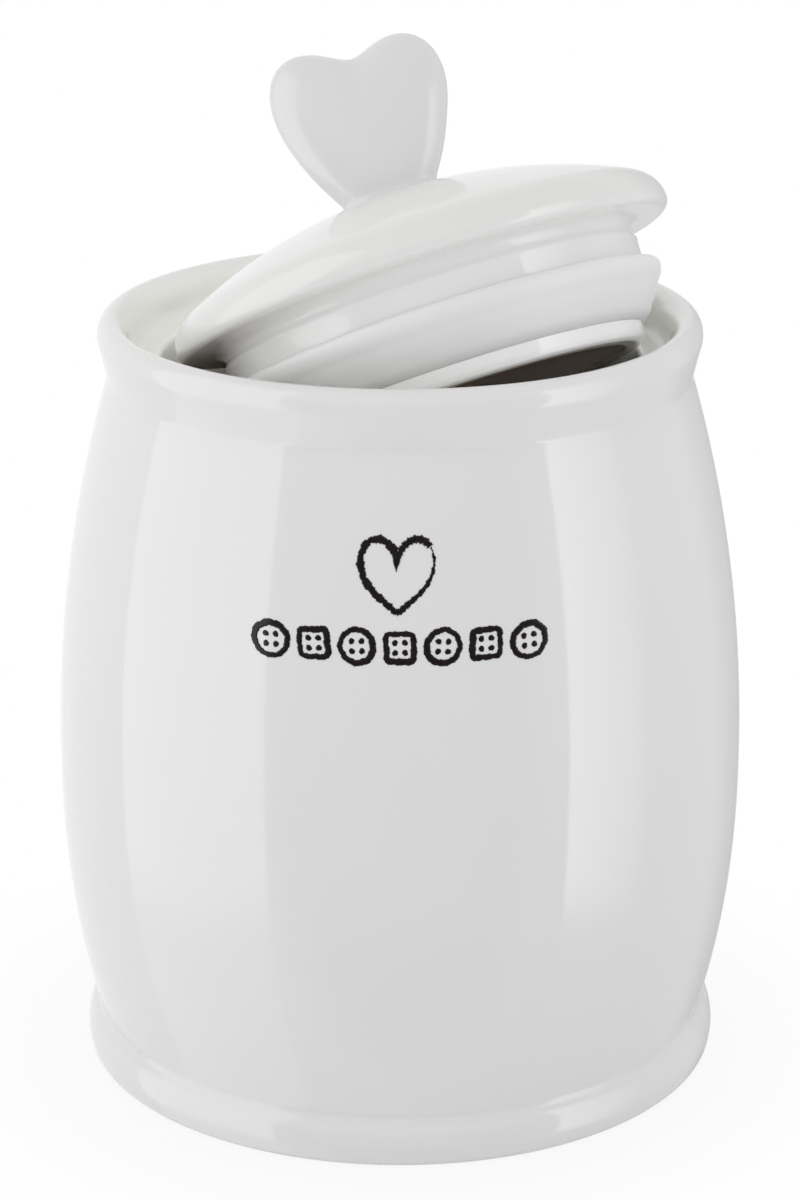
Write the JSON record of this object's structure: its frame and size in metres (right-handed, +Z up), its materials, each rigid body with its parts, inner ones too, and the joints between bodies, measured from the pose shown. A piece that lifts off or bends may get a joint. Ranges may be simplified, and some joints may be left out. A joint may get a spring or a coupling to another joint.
{
  "type": "biscuit jar",
  "caption": "Round-bellied ceramic biscuit jar with a collar mouth, a domed lid with a heart knob and a sealing plug, and an inked heart over a row of biscuits on the front.",
  "frame": {"origin": "centre of the foot, on the surface that the jar stands on", "axes": "+Z up through the middle of the mouth; the marked front faces -Y"},
  "size_m": [0.17, 0.17, 0.2537],
  "materials": {
    "jar_glaze": "glossy white glaze",
    "lid_glaze": "glossy white glaze",
    "knob_glaze": "glossy white glaze",
    "seal_silicone": "soft translucent white silicone",
    "ink": "fired-on black ink under a thin glaze"
  },
  "bodies": {
    "jar": {"jar_body": "jar_glaze", "heart_mark": "ink", "biscuit_marks": "ink"},
    "lid": {"lid": "lid_glaze", "heart_knob": "knob_glaze", "lid_seal": "seal_silicone"}
  },
  "joints": [
    {"name": "lid_lift", "type": "slide", "parent": "jar", "child": "lid", "axis": [0, 0, 1], "range_m": [0, 0.09]}
  ]
}
